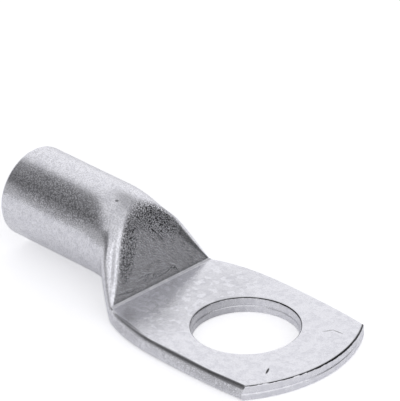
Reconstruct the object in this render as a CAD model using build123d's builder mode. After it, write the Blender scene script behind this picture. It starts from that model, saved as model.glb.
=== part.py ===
from build123d import *
from math import cos, radians, sin, sqrt, tan
import os

# Tubular cable lug, in millimetres: one length of soft copper tube. One end stays round and
# takes the conductor. The other end is pressed flat against an anvil and punched for a stud.
# The origin is the centre of the stud hole on the contact face, the flat underside.
# +X runs from the barrel's mouth to the tip of the palm, and +Z points up.

# Barrel, the round end
barrel_diameter = 11.4
barrel_wall = 1.4
mouth_reach = 36.1  # stud centre back to the mouth
barrel_lift = 0.6  # underside of the barrel above the contact face
mouth_chamfer = 0.95  # lead-in inside the rim, across the wall
mouth_chamfer_depth = 1.2
mouth_easing = 0.2  # small bevel outside the rim

# Ramp, where the die has pressed the top of the tube down
ramp_angle = 65.5
ramp_foot_reach = 14.2  # stud centre back to the foot of the ramp
shoulder_radius = 6.5
crease_radius = 0.6
flare_reach = 18.6  # stud centre back to where the sides start to spread
flare_power = 3.3  # how late the sides become parallel
flare_ease = 0.06  # how softly the spread sets in
fold_power = 0.85  # how evenly the flat of the ramp widens downwards

# Palm, the flat end
palm_thickness = 2.0
palm_width = 21.3  # over the folded sides, at the stud
palm_tip_width = 19.7
palm_tip_reach = 12.75  # stud centre to the tip
palm_tip_radius = 17.3
side_bulge = 0.6  # folded side beyond the sharp upper edge
side_bulge_height = 0.45
underside_rounding = 0.6
anvil_allowance = 0.1  # tube metal that the anvil flattens away
stud_hole_diameter = 13.0
stud_hole_chamfer = 0.15
seam_depth = 0.12  # line left where the two walls of the tube meet
seam_width = 0.14
seam_height = 0.95
shear_margin = 1.0  # palm carried past the tip before it is sheared

# Hollow that closes behind the bore, where the two walls of the tube come together
hollow_end_width = 10.8
hollow_end_gap = 1.4
hollow_end_height = 2.4
hollow_end_setback = 2.6  # behind the foot of the ramp

# Small flat that starts the pressed faces on the round tube
seed_angle = 4.0

# Outlines that the neck and the palm are drawn through
run_in_steps = 3
shoulder_steps = 6
ramp_steps = 3
crease_steps = 3
palm_steps = 4

barrel_radius = barrel_diameter / 2
bore_radius = barrel_radius - barrel_wall
axis_height = barrel_lift + barrel_radius
barrel_top = barrel_lift + barrel_diameter
slope = radians(ramp_angle)
shoulder_tangent = shoulder_radius * tan(slope / 2)
crease_tangent = crease_radius * tan(slope / 2)
ramp_top_x = -ramp_foot_reach - (barrel_top - palm_thickness) / tan(slope)
shoulder_start = ramp_top_x - shoulder_tangent
shoulder_end = ramp_top_x + shoulder_tangent * cos(slope)
crease_start = -ramp_foot_reach - crease_tangent * cos(slope)
crease_end = -ramp_foot_reach + crease_tangent
seed_half_width = barrel_radius * sin(radians(seed_angle))


def top_height(x):
    """Height of the upper face: barrel, rounded shoulder, straight ramp, crease and palm."""
    if x <= shoulder_start:
        return barrel_top
    if x < shoulder_end:
        drop = shoulder_radius - sqrt(shoulder_radius**2 - (x - shoulder_start) ** 2)
        return barrel_top - drop
    if x < crease_start:
        return palm_thickness - (x + ramp_foot_reach) * tan(slope)
    if x < crease_end:
        rise = crease_radius - sqrt(crease_radius**2 - (crease_end - x) ** 2)
        return palm_thickness + rise
    return palm_thickness


def half_width(x):
    """Widest half-width: round tube, then sides that spread and turn parallel at the stud."""
    if x <= 0:
        spread = 1 - (-x / flare_reach) ** flare_power
        eased = (spread + sqrt(spread**2 + flare_ease**2)) / (1 + sqrt(1 + flare_ease**2))
        return barrel_radius + (palm_width / 2 - barrel_radius) * eased
    return palm_width / 2 - (palm_width - palm_tip_width) / 2 * (x / palm_tip_reach) ** 2


def cross_plane(x):
    """Plane across the lug, whose own axes are the lug's Y and Z."""
    return Plane(origin=(x, 0, 0), x_dir=(0, 1, 0), z_dir=(1, 0, 0))


def round_half():
    """Half of the tube's circle, divided as a pressed half is."""
    quarter = 90 - seed_angle
    centre = (0, axis_height)
    return [
        CenterArc(centre, barrel_radius, 90, -seed_angle),
        CenterArc(centre, barrel_radius, quarter, -quarter),
        CenterArc(centre, barrel_radius, 0, -quarter),
        CenterArc(centre, barrel_radius, -quarter, -seed_angle),
    ]


def pressed_half(x):
    """Half of a pressed outline: flat top, folded side of two quarter ellipses, flat bottom."""
    top = top_height(x)
    pressed = (barrel_top - top) / (barrel_top - palm_thickness)
    bottom = barrel_lift * (1 - pressed) - anvil_allowance * pressed
    side = half_width(x)
    widest = axis_height + (side_bulge_height - axis_height) * pressed
    foot_flat = half_width(-ramp_foot_reach) - side_bulge - seed_half_width
    if x < -ramp_foot_reach:
        top_flat = seed_half_width + foot_flat * pressed**fold_power
    else:
        top_flat = side - side_bulge
    rounding = barrel_radius - seed_half_width
    rounding += (underside_rounding - rounding) * pressed
    bottom_flat = side - rounding
    return [
        Line((0, top), (top_flat, top)),
        EllipticalCenterArc((top_flat, widest), side - top_flat, top - widest, 90, arc_size=-90),
        EllipticalCenterArc((bottom_flat, widest), rounding, widest - bottom, 0, arc_size=-90),
        Line((bottom_flat, bottom), (0, bottom)),
    ]


neck_start = shoulder_start - shoulder_radius * slope * run_in_steps / shoulder_steps
neck_stations = [
    neck_start + (shoulder_start - neck_start) * step / run_in_steps
    for step in range(run_in_steps)
]
neck_stations += [
    shoulder_start + shoulder_radius * sin(slope * step / shoulder_steps)
    for step in range(shoulder_steps + 1)
]
neck_stations += [
    shoulder_end + (crease_start - shoulder_end) * step / ramp_steps
    for step in range(1, ramp_steps + 1)
]
neck_stations += [
    crease_end - crease_radius * sin(slope * (1 - step / crease_steps))
    for step in range(1, crease_steps + 1)
]
palm_start = crease_end + crease_radius
palm_end = palm_tip_reach + shear_margin
neck_stations.append(palm_start)
palm_stations = [
    palm_start + (palm_end - palm_start) * step / palm_steps for step in range(palm_steps + 1)
]


def outline_face(x):
    """Whole outline across the lug at x, as a face whose eight edges match from one to the next."""
    half = round_half() if x <= shoulder_start else pressed_half(x)
    whole = half + [edge.mirror(Plane.YZ) for edge in reversed(half)]
    return cross_plane(x) * Face(Wire(whole))


with BuildPart() as cable_lug:
    # Barrel: the tube as it comes, with its mouth bevelled outside
    with BuildSketch(cross_plane(-mouth_reach)):
        with Locations((0, axis_height)):
            Circle(barrel_radius)
    extrude(amount=mouth_reach + neck_start)
    chamfer(cable_lug.edges().sort_by(Axis.X)[0], mouth_easing)

    # Neck and palm: the round tube drawn down the ramp into the flat, carried past the tip
    loft([outline_face(x) for x in neck_stations])
    loft([outline_face(x) for x in palm_stations])

    # Contact face: the anvil leaves the underside truly flat
    with BuildSketch():
        with Locations((palm_end, 0)):
            Rectangle(mouth_reach + palm_end, palm_width, align=(Align.MAX, Align.CENTER))
    extrude(amount=-anvil_allowance * 2, mode=Mode.SUBTRACT)

    # Tip: the palm is sheared off along an arc
    tip_centre = palm_tip_reach - palm_tip_radius
    cut_half_width = palm_width / 2 + shear_margin
    tip_cut_start = tip_centre + sqrt(palm_tip_radius**2 - cut_half_width**2)
    with BuildSketch(Plane.XY.offset(-shear_margin)):
        with Locations((tip_cut_start, 0)):
            Rectangle(palm_end, cut_half_width * 2, align=(Align.MIN, Align.CENTER))
        with Locations((tip_centre, 0)):
            Circle(palm_tip_radius, mode=Mode.SUBTRACT)
    extrude(amount=palm_thickness + shear_margin * 2, mode=Mode.SUBTRACT)

    # Stud hole, with its upper rim eased
    with Locations((0, 0, palm_thickness)):
        CounterSinkHole(
            stud_hole_diameter / 2, stud_hole_diameter / 2 + stud_hole_chamfer, counter_sink_angle=90
        )

    # Seam lines round the hole and along the tip
    with BuildSketch(Plane.XY.offset(seam_height - seam_width / 2)):
        Circle(stud_hole_diameter / 2 + seam_depth)
    extrude(amount=seam_width, mode=Mode.SUBTRACT)
    with BuildSketch(Plane.XY.offset(seam_height - seam_width / 2)):
        with Locations((tip_cut_start, 0)):
            Rectangle(palm_end, cut_half_width * 2, align=(Align.MIN, Align.CENTER))
        with Locations((tip_centre, 0)):
            Circle(palm_tip_radius - seam_depth, mode=Mode.SUBTRACT)
    extrude(amount=seam_width, mode=Mode.SUBTRACT)

    # Bore with its lead-in, turned about the barrel's axis
    with BuildSketch(Plane.XZ):
        with BuildLine():
            Polyline(
                (-mouth_reach, axis_height),
                (-mouth_reach, axis_height + bore_radius + mouth_chamfer),
                (-mouth_reach + mouth_chamfer_depth, axis_height + bore_radius),
                (shoulder_start, axis_height + bore_radius),
                (shoulder_start, axis_height),
                close=True,
            )
        make_face()
    revolve(axis=Axis((0, 0, axis_height), (1, 0, 0)), mode=Mode.SUBTRACT)

    # Hollow behind the bore: the round hole is squeezed to a slit at the foot of the ramp
    with BuildSketch(cross_plane(shoulder_start)):
        with Locations((0, axis_height)):
            Circle(bore_radius)
    with BuildSketch(cross_plane(-ramp_foot_reach - hollow_end_setback)):
        with Locations((0, hollow_end_height)):
            Ellipse(hollow_end_width / 2, hollow_end_gap / 2)
    loft(ruled=True, mode=Mode.SUBTRACT)

cable_lug.part.label = "cable_lug"

os.makedirs("parts", exist_ok=True)
export_step(cable_lug.part, "parts/cable_lug.step")
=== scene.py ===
"""Look of a tubular cable lug: tin-plated copper tube, pressed flat and punched for a stud.

The lug is one skin, worked out as numpy grids in millimetres and written in metres. Cross outlines
of a flat top, two folded sides and a flat bottom run from the barrel's mouth down the ramp to the
foot of the palm. From there the palm is a plate whose top, side and underside run round the hole.
"""

import logging
import math
from dataclasses import dataclass, field
from enum import Enum

import bmesh
import bpy
import numpy as np
from mathutils import Matrix, Vector

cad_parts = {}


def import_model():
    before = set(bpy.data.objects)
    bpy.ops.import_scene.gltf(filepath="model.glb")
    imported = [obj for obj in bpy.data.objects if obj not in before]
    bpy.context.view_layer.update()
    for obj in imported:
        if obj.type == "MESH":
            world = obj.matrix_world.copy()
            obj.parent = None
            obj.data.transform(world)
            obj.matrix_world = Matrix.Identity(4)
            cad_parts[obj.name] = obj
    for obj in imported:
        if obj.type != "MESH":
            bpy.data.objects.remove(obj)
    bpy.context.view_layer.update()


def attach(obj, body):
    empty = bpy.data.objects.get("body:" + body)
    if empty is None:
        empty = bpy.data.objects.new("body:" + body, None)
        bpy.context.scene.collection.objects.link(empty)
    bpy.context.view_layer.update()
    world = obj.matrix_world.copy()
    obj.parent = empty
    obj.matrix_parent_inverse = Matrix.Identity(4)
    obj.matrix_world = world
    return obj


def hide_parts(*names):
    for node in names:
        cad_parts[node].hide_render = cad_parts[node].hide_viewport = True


LOG = logging.getLogger("cable_lug")
MM = 0.001
PER_METRE = 1000.0  # millimetres, for the scale of a pattern whose size is in millimetres
MERGE_MM = 1e-5  # corners of two sheets that are nearer than this are one
SHARP_DEGREES = 42.0  # faces that meet at more than this keep a sharp edge
TINY = 1e-9  # stands in for the share of a flat that has no width


def linear(hex_colour: str) -> tuple[float, float, float, float]:
    """Turn an sRGB hex colour into Blender's linear RGBA.

    Args:
        hex_colour: six hex digits, such as "C8C8CC".

    Returns:
        The linear red, green, blue and an alpha of 1.
    """
    parts = [int(hex_colour[i:i + 2], 16) / 255 for i in (0, 2, 4)]
    curve = [c / 12.92 if c <= 0.04045 else ((c + 0.055) / 1.055) ** 2.4 for c in parts]
    return (curve[0], curve[1], curve[2], 1.0)


def add_node(tree: bpy.types.NodeTree, kind: str, settings: dict | None = None,
             inputs: dict | None = None) -> bpy.types.Node:
    """Add a shader node with its settings and its inputs.

    Args:
        tree: node tree that gets the node.
        kind: Blender's name of the node's type.
        settings: attribute name to value.
        inputs: input name or number to a value, or to the output socket that feeds it.

    Returns:
        The new node.
    """
    node = tree.nodes.new(kind)
    for name, value in (settings or {}).items():
        setattr(node, name, value)
    for name, value in (inputs or {}).items():
        if isinstance(value, bpy.types.NodeSocket):
            tree.links.new(value, node.inputs[name])
        else:
            node.inputs[name].default_value = value
    return node


def set_ramp(node: bpy.types.Node, stops: list[tuple[float, str]]) -> None:
    """Give a colour ramp its stops, with the colours eased between them.

    Args:
        node: a ShaderNodeValToRGB.
        stops: position and sRGB hex colour of each stop, in order.
    """
    ramp = node.color_ramp
    ramp.interpolation = "EASE"
    while len(ramp.elements) < len(stops):
        ramp.elements.new(1.0)
    for element, (position, colour) in zip(ramp.elements, stops):
        element.position = position
        element.color = linear(colour)


@dataclass
class LugForm:
    """Sizes of the lug in millimetres, and the laws of its outlines.

    The main sizes are those of the solid. The round edges are drawn here alone, and the fold, the
    ease of the spread and the seams differ a little. The contact face is the plane z = 0, the
    stud hole's centre is the origin and +X runs from the barrel's mouth to the tip of the palm.
    """

    barrel_radius: float = 5.7
    bore_radius: float = 4.3
    mouth_x: float = -36.1
    barrel_lift: float = 0.6
    mouth_chamfer: float = 0.95
    mouth_chamfer_depth: float = 1.2
    mouth_rounding: float = 0.25
    ramp_angle: float = 65.5
    foot_x: float = -14.2
    shoulder_radius: float = 6.5
    crease_radius: float = 0.6
    flare_reach: float = 18.6  # stud centre back to where the sides start to spread
    flare_power: float = 3.3  # how late the sides become parallel
    flare_ease: float = 0.10  # how softly the spread sets in
    fold_power: float = 1.2  # how evenly the flat of the ramp widens downwards
    fold_fullness: float = 0.1  # how far the sides are squared halfway down the ramp
    palm_thickness: float = 2.0
    palm_width: float = 21.3
    palm_tip_width: float = 19.7
    palm_tip_reach: float = 12.75
    palm_tip_radius: float = 17.3
    side_bulge: float = 0.6
    side_bulge_height: float = 0.45
    underside_rounding: float = 0.6
    hole_radius: float = 6.5
    hole_rounding: float = 0.22
    hole_taper: float = 0.14
    shear_rounding: float = 0.26
    seam_depth: float = 0.08
    seam_width: float = 0.09
    seam_height: float = 0.95
    hollow_end_half_width: float = 5.4
    hollow_end_half_gap: float = 0.7
    hollow_end_height: float = 2.4
    hollow_end_setback: float = 2.6

    def __post_init__(self) -> None:
        """Work out the places that follow from the sizes."""
        self.axis_z = self.barrel_lift + self.barrel_radius
        self.barrel_top = self.barrel_lift + 2 * self.barrel_radius
        self.slope = math.radians(self.ramp_angle)
        rise = self.barrel_top - self.palm_thickness
        corner = self.foot_x - rise / math.tan(self.slope)
        shoulder_tangent = self.shoulder_radius * math.tan(self.slope / 2)
        crease_tangent = self.crease_radius * math.tan(self.slope / 2)
        self.shoulder_start = corner - shoulder_tangent
        self.shoulder_end = corner + shoulder_tangent * math.cos(self.slope)
        self.crease_start = self.foot_x - crease_tangent * math.cos(self.slope)
        self.crease_end = self.foot_x + crease_tangent
        self.palm_x = self.crease_end + self.crease_radius
        self.tip_centre = self.palm_tip_reach - self.palm_tip_radius

    def top_height(self, x: np.ndarray) -> np.ndarray:
        """Height of the upper face: level barrel, arc of the shoulder, straight ramp, arc of
        the crease, level palm.

        Args:
            x: places along the lug.

        Returns:
            The height at each place.
        """
        into = np.clip(x - self.shoulder_start, 0, self.shoulder_radius)
        shoulder = self.barrel_top - self.shoulder_radius + np.sqrt(
            self.shoulder_radius**2 - into**2)
        ramp = self.palm_thickness - (x - self.foot_x) * math.tan(self.slope)
        left = np.clip(self.crease_end - x, 0, self.crease_radius)
        crease = self.palm_thickness + self.crease_radius - np.sqrt(
            self.crease_radius**2 - left**2)
        places = [x < self.shoulder_end, x < self.crease_start]
        return np.select(places, [shoulder, ramp], crease)

    def half_width(self, x: np.ndarray) -> np.ndarray:
        """Widest half-width: round tube, then 1 - (distance to the stud / reach) to a power,
        eased in where it starts, then a parabola towards the tip.

        Args:
            x: places along the lug.

        Returns:
            The half-width at each place.
        """
        spread = 1 - (np.clip(-x, 0, None) / self.flare_reach) ** self.flare_power
        eased = (spread + np.sqrt(spread**2 + self.flare_ease**2)) / 2
        eased = eased * 2 / (1 + math.sqrt(1 + self.flare_ease**2))
        behind = self.barrel_radius + (self.palm_width / 2 - self.barrel_radius) * eased
        narrowing = (self.palm_width - self.palm_tip_width) / 2
        ahead = self.palm_width / 2 - narrowing * (x / self.palm_tip_reach) ** 2
        return np.where(x <= 0, behind, ahead)

    def side_profile(self, upper: np.ndarray, lower: np.ndarray) -> tuple[np.ndarray, np.ndarray]:
        """Folded side of the palm: two quarter ellipses, out and down, then in and down.

        Args:
            upper: angles of the upper quarter, 0 at the sharp upper edge.
            lower: angles of the lower quarter, 0 at the widest line.

        Returns:
            Offsets outward from the sharp upper edge, and heights.
        """
        drop = self.palm_thickness - self.side_bulge_height
        rounding = self.underside_rounding
        offset = np.concatenate([
            self.side_bulge * np.sin(upper),
            self.side_bulge - rounding + rounding * np.cos(lower),
        ])
        height = np.concatenate([
            self.side_bulge_height + drop * np.cos(upper),
            self.side_bulge_height * (1 - np.sin(lower)),
        ])
        return offset, height

    def half_outlines(self, x: np.ndarray, counts: "GridCounts") -> tuple[np.ndarray, np.ndarray]:
        """Half outlines across the lug, from the middle of the top round to the middle of the
        bottom: a flat, a quarter of an ellipse out to the widest line, a quarter ellipse in
        again, and a flat. Both flats have no width on the round tube. The upper quarter is
        slightly squared, most of all halfway down the ramp. The share of the points that a flat
        gets grows with its width, so the points stay evenly spread.

        Args:
            x: places along the lug.
            counts: how many points each stretch has.

        Returns:
            Y and Z, each with a row for a place and a column for a point.
        """
        x = x[:, None]
        top = self.top_height(x)
        pressed = (self.barrel_top - top) / (self.barrel_top - self.palm_thickness)
        bottom = self.barrel_lift * (1 - pressed)
        side = self.half_width(x)
        widest = self.axis_z + (self.side_bulge_height - self.axis_z) * pressed
        foot_flat = self.half_width(np.array(self.foot_x)) - self.side_bulge
        top_flat = np.where(x < self.foot_x, foot_flat * pressed**self.fold_power,
                            side - self.side_bulge)
        rounding = self.barrel_radius + (self.underside_rounding - self.barrel_radius) * pressed
        bottom_flat = np.maximum(side - rounding, 0)
        fullness = 1 - self.fold_fullness * 4 * pressed * (1 - pressed)
        upper, lower = counts.stretches()
        palm_half = self.half_width(np.array(self.palm_x))
        split = counts.flat / (counts.flat + counts.upper)
        split = split * (top_flat / (palm_half - self.side_bulge)) ** counts.flat_power
        turn = np.clip((upper - split) / (1 - split), 0, 1) * math.pi / 2
        along = np.clip(upper / np.maximum(split, TINY), 0, 1)
        upper_y = top_flat * along + (side - top_flat) * np.sin(turn) ** fullness
        upper_z = widest + (top - widest) * np.cos(turn) ** fullness
        split = counts.flat / (counts.flat + counts.lower)
        share = bottom_flat / (palm_half - self.underside_rounding)
        split = split * share**counts.flat_power
        turn = np.clip(lower / (1 - split), 0, 1) * math.pi / 2
        along = np.clip((1 - lower) / np.maximum(split, TINY), 0, 1)
        lower_y = bottom_flat * along + rounding * np.cos(turn)
        lower_z = widest - (widest - bottom) * np.sin(turn)
        return (np.concatenate([upper_y, lower_y, np.zeros_like(x)], axis=1),
                np.concatenate([upper_z, lower_z, bottom], axis=1))

    def round_angles(self, counts: "GridCounts") -> np.ndarray:
        """Angles from the top at which a half outline's points lie on the round tube.

        Args:
            counts: how many points each stretch has.

        Returns:
            One angle for each point of the half outline.
        """
        upper, lower = counts.stretches()
        return np.concatenate([upper, 1 + lower, [2.0]]) * math.pi / 2

    def shear_offset(self, height: np.ndarray) -> np.ndarray:
        """How far the sheared tip stands behind its arc: eased upper and lower edges, and a
        bell-shaped groove at the seam of the two walls.

        Args:
            height: heights on the sheared face.

        Returns:
            Offsets along the arc's radius, zero or less.
        """
        ease = self.shear_rounding
        near_edge = np.clip(ease - np.minimum(height, self.palm_thickness - height), 0, ease)
        edge = ease - np.sqrt(ease**2 - near_edge**2)
        seam = self.seam_depth * np.exp(-((height - self.seam_height) / self.seam_width) ** 2)
        return -edge - seam


@dataclass(frozen=True)
class GridCounts:
    """How finely the skin is divided: the number of steps in each stretch."""

    # Half outline, from the middle of the top to the widest line and on to the underside
    flat: int = 16
    upper: int = 34
    lower: int = 12
    flat_power: float = 0.7  # how a flat's share of these points follows its width
    # Outside, from the mouth to the foot of the palm
    barrel: int = 44
    shoulder: int = 44
    ramp: int = 26
    crease: int = 10
    foot: int = 3
    # Inside, from the mouth inwards
    mouth_rim: int = 6
    mouth_chamfer: int = 9
    bore: int = 23
    hollow: int = 24
    # Palm: its edge, its faces in to the hole, and the hole's rims and wall
    side: int = 70
    tip: int = 90
    face: int = 14
    hole_rim: int = 5
    hole_wall: int = 29
    corner_rounds: int = 12  # rounds of working out where the tip's arc meets a folded side

    def stretches(self) -> tuple[np.ndarray, np.ndarray]:
        """Parameters from 0 to 1 of the upper and the lower half of an outline, without ends."""
        above, below = self.flat + self.upper, self.flat + self.lower
        return np.arange(above) / above, np.arange(below) / below


class Zone(Enum):
    """Which finish a part of the skin has."""

    DRAWN = 0
    SHEARED = 1
    BORE = 2


@dataclass
class Grid:
    """A sheet of points that is a function of two parameters.

    Attributes:
        points: rows by columns by XYZ, in millimetres.
        zone: the finish that the sheet has.
        closed: the last column joins the first.
    """

    points: np.ndarray
    zone: Zone
    closed: bool = False

    def quads(self, first: int) -> np.ndarray:
        """Corner numbers of the sheet's four-sided faces.

        Args:
            first: number of the sheet's first point.

        Returns:
            One row of four numbers for each face.
        """
        rows, columns = self.points.shape[:2]
        number = first + np.arange(rows * columns).reshape(rows, columns)
        if self.closed:
            number = np.concatenate([number, number[:, :1]], axis=1)
        corners = [number[:-1, :-1], number[:-1, 1:], number[1:, 1:], number[1:, :-1]]
        return np.stack(corners, axis=-1).reshape(-1, 4)


def sheet_of(x: np.ndarray, y: np.ndarray, z: np.ndarray) -> np.ndarray:
    """Stack three arrays, spread to one shape, as points."""
    return np.stack(np.broadcast_arrays(x, y, z), axis=-1).astype(float)


@dataclass
class CableLug:
    """The lug: its skin as grids, its mesh and its finishes."""

    form: LugForm = field(default_factory=LugForm)
    counts: GridCounts = field(default_factory=GridCounts)

    @staticmethod
    def full_rings(y: np.ndarray, z: np.ndarray) -> tuple[np.ndarray, np.ndarray]:
        """Close half outlines with their mirror image on the other side.

        Args:
            y: half outlines across, a row for each place.
            z: their heights.

        Returns:
            Y and Z of the whole rings, which don't repeat their first point.
        """
        return (np.concatenate([y, -y[:, -2:0:-1]], axis=1),
                np.concatenate([z, z[:, -2:0:-1]], axis=1))

    def tube_skin(self) -> Grid:
        """Outside from the mouth's rounding to the foot of the palm, as rings across the lug."""
        form, counts = self.form, self.counts
        start = form.mouth_x + form.mouth_rounding
        turn = np.linspace(0, form.slope, counts.shoulder + 1)
        x = np.concatenate([
            np.linspace(start, form.shoulder_start, counts.barrel + 1)[:-1],
            (form.shoulder_start + form.shoulder_radius * np.sin(turn))[:-1],
            np.linspace(form.shoulder_end, form.crease_start, counts.ramp + 1)[:-1],
            form.crease_end - form.crease_radius * np.sin(
                form.slope * (1 - np.linspace(0, 1, counts.crease + 1))),
            np.linspace(form.crease_end, form.palm_x, counts.foot + 1)[1:],
        ])
        y, z = self.full_rings(*form.half_outlines(x, counts))
        return Grid(sheet_of(x[:, None], y, z), Zone.DRAWN, closed=True)

    def mouth_and_bore(self) -> Grid:
        """Rim, lead-in and bore turned about the barrel's axis, then the hollow, where the
        circle passes into a flat ellipse in equal steps and ends in one point."""
        form, counts = self.form, self.counts
        turn = form.round_angles(counts)
        turn = np.concatenate([turn, 2 * math.pi - turn[-2:0:-1]])
        arc = np.linspace(0, math.pi / 2, counts.mouth_rim + 1)
        ease = form.mouth_rounding
        lead_in_end = form.mouth_x + form.mouth_chamfer_depth
        lead_in_radius = form.bore_radius + form.mouth_chamfer
        x = np.concatenate([
            form.mouth_x + ease - ease * np.sin(arc),
            np.linspace(form.mouth_x, lead_in_end, counts.mouth_chamfer + 1)[1:],
            np.linspace(lead_in_end, form.shoulder_start, counts.bore + 1)[1:],
        ])
        radius = np.concatenate([
            form.barrel_radius - ease + ease * np.cos(arc),
            np.linspace(lead_in_radius, form.bore_radius, counts.mouth_chamfer + 1)[1:],
            np.full(counts.bore, form.bore_radius),
        ])
        tube = sheet_of(x[:, None], radius[:, None] * np.sin(turn),
                        form.axis_z + radius[:, None] * np.cos(turn))
        share = np.linspace(0, 1, counts.hollow + 1)[1:, None]
        end_x = form.foot_x - form.hollow_end_setback
        wide = form.bore_radius + (form.hollow_end_half_width - form.bore_radius) * share
        tall = form.bore_radius + (form.hollow_end_half_gap - form.bore_radius) * share
        middle = form.axis_z + (form.hollow_end_height - form.axis_z) * share
        hollow = sheet_of(form.shoulder_start + (end_x - form.shoulder_start) * share,
                          wide * np.sin(turn), middle + tall * np.cos(turn))
        end = np.broadcast_to([end_x, 0.0, form.hollow_end_height], tube[:1].shape)
        return Grid(np.concatenate([tube, hollow, end]), Zone.BORE, closed=True)

    def palm_edge(self) -> tuple[np.ndarray, tuple[int, int]]:
        """Folded sides and sheared tip: each row runs at one level of the side's profile, from
        the foot along one side, round the tip's arc and back along the other. A side and the
        arc meet where both have the same half-width, which a few rounds work out.

        Returns:
            The points, and the first and last column of the sheared tip.
        """
        form, counts = self.form, self.counts
        offset, height = form.side_profile(
            np.arange(counts.upper) / counts.upper * math.pi / 2,
            np.arange(counts.lower + 1) / counts.lower * math.pi / 2)
        offset, height = offset[:, None], height[:, None]
        radius = form.palm_tip_radius + form.shear_offset(height)
        corner_y = np.full_like(height, form.palm_tip_width / 2)
        for _ in range(counts.corner_rounds):
            corner_x = form.tip_centre + np.sqrt(radius**2 - corner_y**2)
            corner_y = form.half_width(corner_x) - form.side_bulge + offset
        along = np.linspace(0, 1, counts.side + 1)
        side_x = form.palm_x + (corner_x - form.palm_x) * along
        side_y = form.half_width(side_x) - form.side_bulge + offset
        tip_y = corner_y * np.cos(np.linspace(0, math.pi, counts.tip + 1))[None, 1:-1]
        tip_x = form.tip_centre + np.sqrt(radius**2 - tip_y**2)
        points = np.concatenate([
            sheet_of(side_x, side_y, height),
            sheet_of(tip_x, tip_y, height),
            sheet_of(side_x[:, ::-1], -side_y[:, ::-1], height),
        ], axis=1)
        return points, (counts.side, counts.side + counts.tip)

    def palm_faces(self, edge: np.ndarray) -> tuple[Grid, Grid, Grid]:
        """Top, hole wall and underside of the palm. Each column runs from a point of the
        palm's edge straight in to the hole's rim, down the wall and straight out again. The wall
        has round rims, a slight taper and a bell-shaped groove at the seam.

        Args:
            edge: points of the palm's edge, whose first and last rows bound the two faces.

        Returns:
            The top, the wall of the hole and the underside.
        """
        form, counts = self.form, self.counts
        place = np.array([form.palm_x])
        y, z = form.half_outlines(place, counts)
        top_half = y[0, 1:counts.flat]
        bottom_half = y[0, -2:-1 - counts.flat:-1]
        loops = []
        for half, row in ((top_half, edge[0]), (bottom_half, edge[-1])):
            back = np.concatenate([-half[::-1], [0.0], half])
            level = np.full_like(back, row[0, 2])
            loops.append(np.concatenate([sheet_of(place, back, level), row]))
        angle = np.arctan2(loops[0][:, 1], loops[0][:, 0])
        around = np.stack([np.cos(angle), np.sin(angle)], axis=-1)
        share = np.linspace(0, 1, counts.face + 1)[:, None, None]
        rim = form.hole_radius + form.hole_rounding
        sheets = []
        lower_rim = rim - form.hole_taper
        for loop, height, radius in zip(loops, (form.palm_thickness, 0.0), (rim, lower_rim)):
            inner = np.concatenate([around * radius, np.full((len(angle), 1), height)], axis=1)
            sheets.append(loop + (inner - loop) * share)
        arc = np.linspace(0, math.pi / 2, counts.hole_rim + 1)
        ease = form.hole_rounding
        straight = np.linspace(form.palm_thickness - ease, ease, counts.hole_wall + 1)[1:-1]
        level = np.concatenate([
            form.palm_thickness - ease + ease * np.cos(arc), straight, ease - ease * np.sin(arc)])
        seam = form.seam_depth * np.exp(-((straight - form.seam_height) / form.seam_width) ** 2)
        radius = np.concatenate([
            rim - ease * np.sin(arc), form.hole_radius + seam, rim - ease * np.cos(arc)])
        radius = radius - form.hole_taper * (1 - level / form.palm_thickness)
        wall = sheet_of(radius[:, None] * around[:, 0], radius[:, None] * around[:, 1],
                        level[:, None])
        return (Grid(sheets[0], Zone.DRAWN, closed=True), Grid(wall, Zone.SHEARED, closed=True),
                Grid(sheets[1], Zone.DRAWN, closed=True))

    def grids(self) -> list[Grid]:
        """All sheets of the closed skin."""
        edge, (first, last) = self.palm_edge()
        return [
            self.tube_skin(),
            self.mouth_and_bore(),
            Grid(edge[:, :first + 1], Zone.DRAWN),
            Grid(edge[:, first:last + 1], Zone.SHEARED),
            Grid(edge[:, last:], Zone.DRAWN),
            *self.palm_faces(edge),
        ]

    def build(self) -> bpy.types.Object:
        """Join the sheets where their edges meet, and make the lug's object.

        Returns:
            The object, at the origin, whose faces are numbered by their zone.
        """
        grids = self.grids()
        points = np.concatenate([grid.points.reshape(-1, 3) for grid in grids])
        firsts = np.cumsum([0] + [grid.points.shape[0] * grid.points.shape[1] for grid in grids])
        quads = np.concatenate([grid.quads(first) for grid, first in zip(grids, firsts)])
        zones = np.concatenate([
            np.full(len(grid.quads(0)), grid.zone.value) for grid in grids])
        keys = np.round(points / MERGE_MM).astype(np.int64)
        _, kept, number = np.unique(keys, axis=0, return_index=True, return_inverse=True)
        quads = number.reshape(-1)[quads]
        repeated = quads == np.roll(quads, 1, axis=1)
        spare = repeated.sum(axis=1)
        whole = quads[spare == 0]
        thin = quads[spare == 1][~repeated[spare == 1]].reshape(-1, 3)
        mesh = bpy.data.meshes.new("cable_lug_skin")
        mesh.from_pydata((points[kept] * MM).tolist(), [], whole.tolist() + thin.tolist())
        mesh.polygons.foreach_set(
            "material_index", np.concatenate([zones[spare == 0], zones[spare == 1]]))
        mesh.validate()
        mesh.update()
        turn_outward(mesh)
        mesh.shade_smooth()
        mesh.set_sharp_from_angle(angle=math.radians(SHARP_DEGREES))
        piece = bpy.data.objects.new("tinned_lug", mesh)
        bpy.context.collection.objects.link(piece)
        return piece

    def dress(self, piece: bpy.types.Object) -> None:
        """Give the piece the finish of each zone, in their order."""
        for zone in Zone:
            piece.data.materials.append(FINISHES[zone].make())


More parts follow.
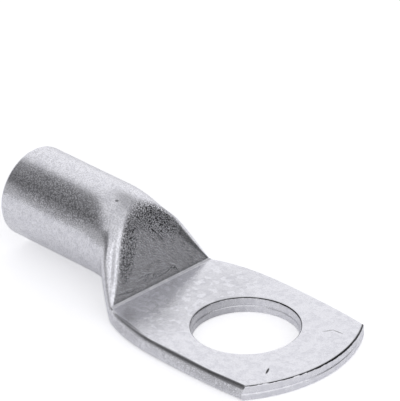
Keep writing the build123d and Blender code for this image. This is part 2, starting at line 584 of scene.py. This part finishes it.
def turn_outward(mesh: bpy.types.Mesh) -> None:
    """Turn all faces of a closed mesh to point outward.

    Args:
        mesh: the mesh, whose neighbouring faces share their vertices.
    """
    shell = bmesh.new()
    shell.from_mesh(mesh)
    bmesh.ops.recalc_face_normals(shell, faces=shell.faces)
    loose = sum(1 for edge in shell.edges if not edge.is_manifold)
    volume = shell.calc_volume(signed=True)
    LOG.info("lug skin: open edges %d, volume %.1f mm3", loose, volume / MM**3)
    if volume < 0:
        bmesh.ops.reverse_faces(shell, faces=shell.faces)
    shell.to_mesh(mesh)
    shell.free()


@dataclass(frozen=True)
class Mark:
    """A mark: a thin soft-edged ellipsoid in which the tin is darker and a little lower. It draws
    wear, and also painted shade and painted dark reflections.

    Attributes:
        start: one end, in millimetres.
        end: the other end, in millimetres.
        width: half-width in millimetres.
        level: brightness left in its middle, where unmarked tin is 1.
        specks: size in millimetres of the specks that it is broken up into, or 0 for none.
        fade: shares of its reach at which it starts to fade and has faded out.
    """

    start: tuple[float, float, float]
    end: tuple[float, float, float]
    width: float
    level: float
    specks: float = 0.0
    fade: tuple[float, float] = (0.5, 1.15)

    def shade(self, tree: bpy.types.NodeTree, place: bpy.types.NodeSocket) -> bpy.types.NodeSocket:
        """Brightness of the mark at a place: 1 outside it.

        Args:
            tree: the material's node tree.
            place: Object coordinates.

        Returns:
            The output that holds the brightness.
        """
        start, end = Vector(self.start) * MM, Vector(self.end) * MM
        reach = ((end - start).length / 2, self.width * MM, self.width * MM)
        local = add_node(tree, "ShaderNodeMapping", {"vector_type": "TEXTURE"}, {
            "Vector": place, "Location": (start + end) / 2,
            "Rotation": (end - start).to_track_quat("X", "Z").to_euler(), "Scale": reach})
        distance = add_node(tree, "ShaderNodeVectorMath", {"operation": "LENGTH"}, {
            0: local.outputs["Vector"]}).outputs["Value"]
        return add_node(tree, "ShaderNodeMapRange", {"interpolation_type": "SMOOTHSTEP"}, {
            "Value": distance, "From Min": self.fade[0], "From Max": self.fade[1],
            "To Min": self.level, "To Max": 1.0}).outputs["Result"]


@dataclass(frozen=True)
class TinPlate:
    """Tin-plated copper: satin metal, pale grey with a faint violet cast, with a fine pebbled
    grain from the plating and cloudy patches where it has been handled."""

    name: str = "tin_plated_copper_bore"
    clean: str = "EDEDF1"
    clouded: str = "E3E3E8"
    roughness_low: float = 0.34
    roughness_high: float = 0.48
    # The real grain is about 0.05 mm; it is drawn coarser here, so that it shows
    grain_mm: float = 0.2
    grain_share: float = 1.0  # height of the grain beside that of a mark
    relief_mm: float = 0.014
    cloud_mm: float = 0.8
    cloud_range: tuple[float, float] = (0.36, 0.58)  # noise that is fully clouded, and clean
    gloss_range: tuple[float, float] = (0.35, 0.65)  # noise that is roughest, and smoothest

    def make(self) -> bpy.types.Material:
        """Build the material.

        Returns:
            The material, whose patterns read Object coordinates.
        """
        material = bpy.data.materials.new(self.name)
        material.use_nodes = True
        tree = material.node_tree
        tree.nodes.clear()
        place = add_node(tree, "ShaderNodeTexCoord").outputs["Object"]
        cloud = add_node(tree, "ShaderNodeTexNoise", {}, {
            "Vector": place, "Scale": PER_METRE / self.cloud_mm, "Detail": 4.0,
            "Roughness": 0.6})
        colour = add_node(tree, "ShaderNodeValToRGB", {}, {"Fac": cloud.outputs["Fac"]})
        set_ramp(colour, list(zip(self.cloud_range, (self.clouded, self.clean))))
        gloss = add_node(tree, "ShaderNodeMapRange", {}, {
            "Value": cloud.outputs["Fac"],
            "From Min": self.gloss_range[0], "From Max": self.gloss_range[1],
            "To Min": self.roughness_high, "To Max": self.roughness_low})
        grain = add_node(tree, "ShaderNodeTexNoise", {}, {
            "Vector": place, "Scale": PER_METRE / self.grain_mm, "Detail": 2.0,
            "Roughness": 0.55})
        shade = self.shade(tree, place)
        marked = add_node(tree, "ShaderNodeVectorMath", {"operation": "SCALE"}, {
            0: colour.outputs["Color"], "Scale": shade}).outputs["Vector"]
        height = add_node(tree, "ShaderNodeMath", {"operation": "MULTIPLY_ADD"}, {
            0: grain.outputs["Fac"], 1: self.grain_share, 2: shade}).outputs[0]
        bump = add_node(tree, "ShaderNodeBump", {}, {
            "Height": height, "Distance": self.relief_mm * MM, "Strength": 1.0})
        shader = add_node(tree, "ShaderNodeBsdfPrincipled", {}, {
            "Base Color": marked, "Metallic": 1.0,
            "Roughness": gloss.outputs["Result"], "Normal": bump.outputs["Normal"]})
        add_node(tree, "ShaderNodeOutputMaterial", {}, {"Surface": shader.outputs["BSDF"]})
        return material

    def shade(self, tree: bpy.types.NodeTree, place: bpy.types.NodeSocket) -> bpy.types.NodeSocket:
        """Brightness that darker marks leave: none here, so 1 all over.

        Args:
            tree: the material's node tree.
            place: Object coordinates; not used here.

        Returns:
            The output that holds the brightness.
        """
        value = add_node(tree, "ShaderNodeValue")
        value.outputs[0].default_value = 1.0
        return value.outputs[0]

    def speckle(self, tree: bpy.types.NodeTree, place: bpy.types.NodeSocket, size_mm: float,
                span: tuple[float, float]) -> bpy.types.NodeSocket:
        """Fine irregular specks, 0 inside them and 1 between them.

        Args:
            tree: the material's node tree.
            place: Object coordinates.
            size_mm: size of the noise.
            span: noise at which a speck is full, and at which it ends.

        Returns:
            The output that holds the specks.
        """
        noise = add_node(tree, "ShaderNodeTexNoise", {}, {
            "Vector": place, "Scale": PER_METRE / size_mm, "Detail": 1.0, "Roughness": 0.5})
        return add_node(tree, "ShaderNodeMapRange", {}, {
            "Value": noise.outputs["Fac"], "From Min": span[0], "From Max": span[1],
            "To Min": 0.0, "To Max": 1.0}).outputs["Result"]


@dataclass(frozen=True)
class PressedTin(TinPlate):
    """Outside of the lug: glossier, with the orange-peel specks of bent tube on the neck, and
    the nicks, scratches and press marks of its making. Painted shade and painted dark
    reflections darken the barrel's band, the ramp, the middle of the fold, the dimple and the
    upper band of the folded side."""

    name: str = "tin_plated_copper_pressed"
    roughness_low: float = 0.17
    roughness_high: float = 0.25
    # The real specks are finer than a pixel of the render; they are drawn coarser to show
    speck_mm: float = 0.17
    speck_range: tuple[float, float] = (0.38, 0.56)  # noise inside a speck, and outside it
    speck_level: float = 0.80  # brightness of a speck on the neck and the sides
    palm_level: float = 0.93  # the same on the flat of the palm
    neck_mm: tuple[float, float] = (-15.6, -14.4)  # X at which the neck gives way to the palm
    flat_mm: tuple[float, float] = (1.80, 1.98)  # Z at which the side gives way to the flat
    mark_speck_range: tuple[float, float] = (0.45, 0.57)  # the same in the marks below
    # Marks of wear, and patches of painted shade and painted dark reflection, as each group says
    marks: tuple[Mark, ...] = (
        # Orange-peel specks of the bent tube, darkened into painted dark reflection: on the dark
        # band along the barrel, over the top of the ramp and down beside the fold
        Mark((-38.0, -3.70, 10.5), (-18.0, -4.50, 10.0), 2.6, 0.56, 0.18),
        Mark((-18.2, -0.20, 11.2), (-14.8, -5.60, 3.4), 1.3, 0.05, 0.15),
        Mark((-18.6, -0.80, 11.2), (-16.0, 5.60, 6.4), 2.2, 0.04, 0.15),
        # Painted shade down the middle of the fold, which splits its highlight in two, and a
        # painted dark spot for the shade of the dimple above it
        Mark((-19.9, -1.60, 11.1), (-16.9, -4.80, 7.6), 0.28, 0.70),
        Mark((-17.6, -4.15, 8.7), (-14.9, -7.70, 3.0), 0.28, 0.70),
        Mark((-20.5, -1.40, 11.28), (-20.1, -1.00, 11.45), 0.20, 0.30),
        # Stains of handling behind the hole
        Mark((-9.0, -11.0, 2.0), (-9.0, 11.0, 2.0), 6.0, 0.87, 0.90),
        # Painted dark reflection on the upper band of the folded side, darkest under its upper edge
        # and broken into specks lower down
        Mark((-15.0, -8.50, 1.9), (-5.0, -10.30, 1.8), 0.32, 0.50),
        Mark((-8.0, -10.10, 1.8), (6.0, -10.25, 1.8), 0.32, 0.45),
        Mark((2.0, -10.40, 1.8), (14.0, -9.60, 1.8), 0.32, 0.40),
        Mark((-16.0, -9.40, 1.1), (14.0, -10.60, 1.1), 0.80, 0.68, 0.15),
        # Darker along the crease
        Mark((-14.25, -11.0, 2.1), (-14.25, 11.0, 2.1), 0.60, 0.93),
        # Nick near the tip
        Mark((9.52, -6.32, 2.0), (8.73, -4.95, 2.0), 0.16, 0.04),
        # Faint scratches beside the hole
        Mark((7.45, 5.10, 2.0), (8.22, 6.42, 2.0), 0.10, 0.45),
        Mark((8.00, 6.28, 2.0), (9.70, 6.48, 2.0), 0.10, 0.40),
        # Scratches down the ramp
        Mark((-17.02, 0.95, 8.18), (-16.45, 1.90, 6.94), 0.10, 0.15),
        Mark((-16.50, 1.80, 7.05), (-16.08, 2.40, 6.12), 0.08, 0.30),
        Mark((-16.60, 0.60, 7.27), (-16.25, 1.25, 6.50), 0.07, 0.35),
        # Edges of the die pressed in near the foot of the ramp
        Mark((-14.64, -7.10, 2.97), (-14.50, -3.20, 2.66), 0.22, 0.30, 0.13),
        Mark((-14.95, -2.70, 3.65), (-14.87, -0.80, 3.47), 0.16, 0.35, 0.13),
        Mark((-14.74, -3.60, 3.18), (-14.66, 2.80, 3.01), 0.42, 0.55, 0.13),
        Mark((-14.86, 1.90, 3.45), (-14.50, 3.20, 2.66), 0.30, 0.30, 0.13),
    )

    def shade(self, tree: bpy.types.NodeTree, place: bpy.types.NodeSocket) -> bpy.types.NodeSocket:
        """Brightness that the specks of the neck, the marks of wear and the painted shade leave.

        Args:
            tree: the material's node tree.
            place: Object coordinates.

        Returns:
            The output that holds the brightness.
        """
        parts = add_node(tree, "ShaderNodeSeparateXYZ", {}, {0: place}).outputs
        flat = add_node(tree, "ShaderNodeMapRange", {"interpolation_type": "SMOOTHSTEP"}, {
            "Value": parts["Z"], "From Min": self.flat_mm[0] * MM, "From Max": self.flat_mm[1] * MM,
            "To Min": self.speck_level, "To Max": self.palm_level}).outputs["Result"]
        palm = add_node(tree, "ShaderNodeMapRange", {"interpolation_type": "SMOOTHSTEP"}, {
            "Value": parts["X"], "From Min": self.neck_mm[0] * MM, "From Max": self.neck_mm[1] * MM,
            "To Min": self.speck_level, "To Max": flat}).outputs["Result"]
        specks = self.speckle(tree, place, self.speck_mm, self.speck_range)
        level = add_node(tree, "ShaderNodeMapRange", {}, {
            "Value": specks, "To Min": palm, "To Max": 1.0}).outputs["Result"]
        sizes = sorted({mark.specks for mark in self.marks if mark.specks})
        between = {
            size: self.speckle(tree, place, size, self.mark_speck_range) for size in sizes}
        for mark in self.marks:
            shade = mark.shade(tree, place)
            if mark.specks:
                shade = add_node(tree, "ShaderNodeMath", {"operation": "MAXIMUM"}, {
                    0: shade, 1: between[mark.specks]}).outputs[0]
            level = add_node(tree, "ShaderNodeMath", {"operation": "MULTIPLY"}, {
                0: level, 1: shade}).outputs[0]
        return level


@dataclass(frozen=True)
class ShearedTin(TinPlate):
    """Cut faces of the tip and the hole: a near-black line is painted under the upper edge as the
    dark reflection in its die roll, ragged and thicker towards one side, and painted shade
    darkens the back of the hole."""

    name: str = "tin_plated_copper_sheared"
    roughness_low: float = 0.24
    roughness_high: float = 0.36
    line_top_mm: float = 1.97  # height of the painted dark line's upper edge
    painted_line_level: float = 0.05  # brightness of the painted dark line
    line_fade: tuple[float, float] = (0.35, 0.65)  # from its middle, in shares of its thickness
    line_mm: tuple[float, float] = (0.01, 0.20)  # its thickness on the thin and the thick side
    line_side_mm: float = 7.0  # distance in Y of these two sides from the middle
    ragged_mm: float = 0.08  # what its raggedness adds
    ragged_size_mm: float = 0.5  # length of a ragged stretch
    ragged_range: tuple[float, float] = (0.30, 0.60)
    hole_share: float = 0.42  # share of the thickness that the hole's line has
    hole_to_tip_mm: tuple[float, float] = (7.0, 9.5)  # radius of the hole's line, and the tip's
    painted_shade_back_mm: tuple[float, float] = (-6.4, -3.0)  # X at which the painted shade of the hole's back is full, and ends
    painted_shade_back_level: float = 0.66  # brightness that the painted shade leaves there

    def shade(self, tree: bpy.types.NodeTree, place: bpy.types.NodeSocket) -> bpy.types.NodeSocket:
        """Brightness that the painted dark line and the painted shade at the hole's back leave.

        Args:
            tree: the material's node tree.
            place: Object coordinates.

        Returns:
            The output that holds the brightness.
        """
        parts = add_node(tree, "ShaderNodeSeparateXYZ", {}, {0: place}).outputs
        wide = add_node(tree, "ShaderNodeMapRange", {}, {
            "Value": parts["Y"],
            "From Min": -self.line_side_mm * MM, "From Max": self.line_side_mm * MM,
            "To Min": self.line_mm[0] * MM, "To Max": self.line_mm[1] * MM}).outputs["Result"]
        ragged = self.speckle(tree, place, self.ragged_size_mm, self.ragged_range)
        wide = add_node(tree, "ShaderNodeMath", {"operation": "MULTIPLY_ADD"}, {
            0: ragged, 1: self.ragged_mm * MM, 2: wide}).outputs[0]
        reach = add_node(tree, "ShaderNodeVectorMath", {"operation": "LENGTH"}, {
            0: place}).outputs["Value"]
        thinning = add_node(tree, "ShaderNodeMapRange", {}, {
            "Value": reach,
            "From Min": self.hole_to_tip_mm[0] * MM, "From Max": self.hole_to_tip_mm[1] * MM,
            "To Min": self.hole_share, "To Max": 1.0}).outputs["Result"]
        wide = add_node(tree, "ShaderNodeMath", {"operation": "MULTIPLY"}, {
            0: wide, 1: thinning}).outputs[0]
        below = add_node(tree, "ShaderNodeMath", {"operation": "SUBTRACT"}, {
            0: self.line_top_mm * MM, 1: parts["Z"]}).outputs[0]
        share = add_node(tree, "ShaderNodeMath", {"operation": "DIVIDE"}, {
            0: below, 1: wide}).outputs[0]
        middle = add_node(tree, "ShaderNodeMath", {"operation": "SUBTRACT"}, {
            0: share, 1: 0.5}).outputs[0]
        distance = add_node(tree, "ShaderNodeMath", {"operation": "ABSOLUTE"}, {
            0: middle}).outputs[0]
        # Painted shade on the back wall of the hole
        back = add_node(tree, "ShaderNodeMapRange", {}, {
            "Value": parts["X"], "From Min": self.painted_shade_back_mm[0] * MM, "From Max": self.painted_shade_back_mm[1] * MM,
            "To Min": self.painted_shade_back_level, "To Max": 1.0}).outputs["Result"]
        return add_node(tree, "ShaderNodeMapRange", {"interpolation_type": "SMOOTHSTEP"}, {
            "Value": distance, "From Min": self.line_fade[0], "From Max": self.line_fade[1],
            "To Min": self.painted_line_level, "To Max": back}).outputs["Result"]


FINISHES = {Zone.DRAWN: PressedTin(), Zone.SHEARED: ShearedTin(), Zone.BORE: TinPlate()}


@dataclass(frozen=True)
class RoomPatch:
    """A darker or brighter part of the room, as the satin metal mirrors it.

    Attributes:
        azimuth: degrees from the camera's right, turning away from the camera.
        elevation: degrees above the floor.
        width: half-width in degrees.
        height: half-height in degrees.
        level: how bright its middle is, where the room around it is 1.
        core: share of the half-width that has that level evenly.
    """

    azimuth: float
    elevation: float
    width: float
    height: float
    level: float
    core: float


@dataclass
class Studio:
    """Pale floor, soft light all round from a room with darker parts, and the camera."""

    camera_azimuth: float = 45.75
    camera_elevation: float = 29.06
    camera_roll: float = -0.90
    camera_place: tuple[float, float, float] = (0.341625, -0.339987, 0.286642)
    camera_clip: tuple[float, float] = (0.01, 20.0)
    lens: float = 428.03
    sensor_width: float = 36.0
    light_colour: str = "FCFCFF"
    behind_scale: float = 10.0  # pushes what lies behind a patch's middle out of the patch
    floor_half: float = 1.5
    floor_level_mm: float = -0.02
    floor_colour: str = "F2F2F4"
    camera_lift: float = 0.44  # light that the floor adds for the camera, which shows it white
    mirror_lift: float = 0.15  # the same for its image in the metal
    patches: tuple[RoomPatch, ...] = (
        RoomPatch(-165, 12, 66, 44, 0.50, 0.50),
        RoomPatch(165, 42, 44, 30, 0.34, 0.50),
        RoomPatch(8, 16, 27, 28, 0.10, 0.75),
        RoomPatch(40, 54, 34, 20, 0.60, 0.20),
        RoomPatch(0, 85, 75, 75, 0.78, 0.40),
        RoomPatch(-27, 28, 8, 30, 1.40, 0.10),
        RoomPatch(-62, 42, 18, 20, 1.40, 0.10),
    )

    def camera(self) -> None:
        """Put the camera at its place and turn it by its azimuth, elevation and roll."""
        azimuth, elevation, roll = (math.radians(a) for a in (
            self.camera_azimuth, self.camera_elevation, self.camera_roll))
        back = np.array([math.sin(azimuth) * math.cos(elevation),
                         -math.cos(azimuth) * math.cos(elevation), math.sin(elevation)])
        right = np.array([math.cos(azimuth), math.sin(azimuth), 0.0])
        up = np.cross(back, right)
        turned_right = right * math.cos(roll) + up * math.sin(roll)
        turned_up = up * math.cos(roll) - right * math.sin(roll)
        pose = np.eye(4)
        pose[:3, 0], pose[:3, 1], pose[:3, 2] = turned_right, turned_up, back
        pose[:3, 3] = self.camera_place
        data = bpy.data.cameras.new("photo_camera")
        data.sensor_width = self.sensor_width
        data.lens = self.lens
        data.clip_start, data.clip_end = self.camera_clip
        camera = bpy.data.objects.new("photo_camera", data)
        camera.matrix_world = Matrix(pose.tolist())
        bpy.context.collection.objects.link(camera)
        bpy.context.scene.camera = camera

    def room(self) -> None:
        """Light the room evenly, but for its patches, which camera rays don't see.

        A patch fades out with the length of (sideways / width, upward / height), both sines of
        the angle from its middle.
        """
        world = bpy.data.worlds.new("soft_room")
        bpy.context.scene.world = world
        world.use_nodes = True
        tree = world.node_tree
        tree.nodes.clear()
        ray = add_node(tree, "ShaderNodeTexCoord").outputs["Generated"]
        level = None
        for patch in self.patches:
            share = self.patch_level(tree, ray, patch)
            level = share if level is None else add_node(
                tree, "ShaderNodeMath", {"operation": "MULTIPLY"}, {0: level, 1: share}
            ).outputs[0]
        light = add_node(tree, "ShaderNodeBackground", {}, {
            "Color": linear(self.light_colour), "Strength": level})
        paper = add_node(tree, "ShaderNodeBackground", {}, {
            "Color": linear("FFFFFF"), "Strength": 1.0})
        path = add_node(tree, "ShaderNodeLightPath")
        either = add_node(tree, "ShaderNodeMixShader", {}, {
            0: path.outputs["Is Camera Ray"], 1: light.outputs[0], 2: paper.outputs[0]})
        add_node(tree, "ShaderNodeOutputWorld", {}, {"Surface": either.outputs[0]})

    def patch_level(self, tree: bpy.types.NodeTree, ray: bpy.types.NodeSocket,
                    patch: RoomPatch) -> bpy.types.NodeSocket:
        """Brightness of one patch along a ray: 1 outside it.

        Args:
            tree: the world's node tree.
            ray: the ray's direction.
            patch: the patch.

        Returns:
            The output that holds the brightness.
        """
        azimuth = math.radians(patch.azimuth + self.camera_azimuth)
        elevation = math.radians(patch.elevation)
        middle = (math.cos(azimuth) * math.cos(elevation),
                  math.sin(azimuth) * math.cos(elevation), math.sin(elevation))
        sideways = (-math.sin(azimuth), math.cos(azimuth), 0.0)
        upward = tuple(np.cross(middle, sideways).tolist())
        parts = []
        for axis, reach in ((sideways, patch.width), (upward, patch.height)):
            scale = 1 / math.sin(math.radians(reach))
            parts.append(add_node(tree, "ShaderNodeVectorMath", {"operation": "DOT_PRODUCT"}, {
                0: ray, 1: tuple(scale * part for part in axis)}).outputs["Value"])
        behind = add_node(tree, "ShaderNodeVectorMath", {"operation": "DOT_PRODUCT"}, {
            0: ray, 1: tuple(-self.behind_scale * part for part in middle)}).outputs["Value"]
        parts.append(add_node(tree, "ShaderNodeMath", {"operation": "MAXIMUM"}, {
            0: behind, 1: 0.0}).outputs[0])
        offset = add_node(tree, "ShaderNodeCombineXYZ", {}, dict(enumerate(parts)))
        distance = add_node(tree, "ShaderNodeVectorMath", {"operation": "LENGTH"}, {
            0: offset.outputs[0]}).outputs["Value"]
        return add_node(tree, "ShaderNodeMapRange", {"interpolation_type": "SMOOTHSTEP"}, {
            "Value": distance, "From Min": patch.core, "From Max": 1.0,
            "To Min": patch.level, "To Max": 1.0}).outputs["Result"]

    def floor(self) -> bpy.types.Object:
        """Pale matt floor a hair below the contact face, a square of one face."""
        half, level = self.floor_half, self.floor_level_mm * MM
        mesh = bpy.data.meshes.new("floor")
        mesh.from_pydata([(x, y, level) for x, y in (
            (-half, -half), (half, -half), (half, half), (-half, half))], [], [(0, 1, 2, 3)])
        floor = bpy.data.objects.new("floor", mesh)
        bpy.context.collection.objects.link(floor)
        material = bpy.data.materials.new("white_paper")
        material.use_nodes = True
        tree = material.node_tree
        tree.nodes.clear()
        matt = add_node(tree, "ShaderNodeBsdfDiffuse", {}, {"Color": linear(self.floor_colour)})
        path = add_node(tree, "ShaderNodeLightPath")
        seen = add_node(tree, "ShaderNodeMath", {"operation": "MULTIPLY"}, {
            0: path.outputs["Is Glossy Ray"], 1: self.mirror_lift})
        lift = add_node(tree, "ShaderNodeMath", {"operation": "MULTIPLY_ADD"}, {
            0: path.outputs["Is Camera Ray"], 1: self.camera_lift, 2: seen.outputs[0]})
        glow = add_node(tree, "ShaderNodeEmission", {}, {"Strength": lift.outputs[0]})
        both = add_node(tree, "ShaderNodeAddShader", {}, {0: matt.outputs[0], 1: glow.outputs[0]})
        add_node(tree, "ShaderNodeOutputMaterial", {}, {"Surface": both.outputs[0]})
        mesh.materials.append(material)
        return floor


def main() -> None:
    """Build the lug, its finishes, the floor, the light and the camera."""
    studio = Studio()
    studio.camera()
    studio.room()
    studio.floor()
    LOG.info("studio: camera, room and floor")
    lug = CableLug()
    piece = lug.build()
    lug.dress(piece)
    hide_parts("cable_lug")
    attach(piece, "root")
    LOG.info("tinned lug: %d faces", len(piece.data.polygons))


if __name__ == "__main__":
    logging.basicConfig(level=logging.INFO)
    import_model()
    bpy.context.scene.view_settings.view_transform = "Standard"
    main()
    bpy.context.view_layer.update()
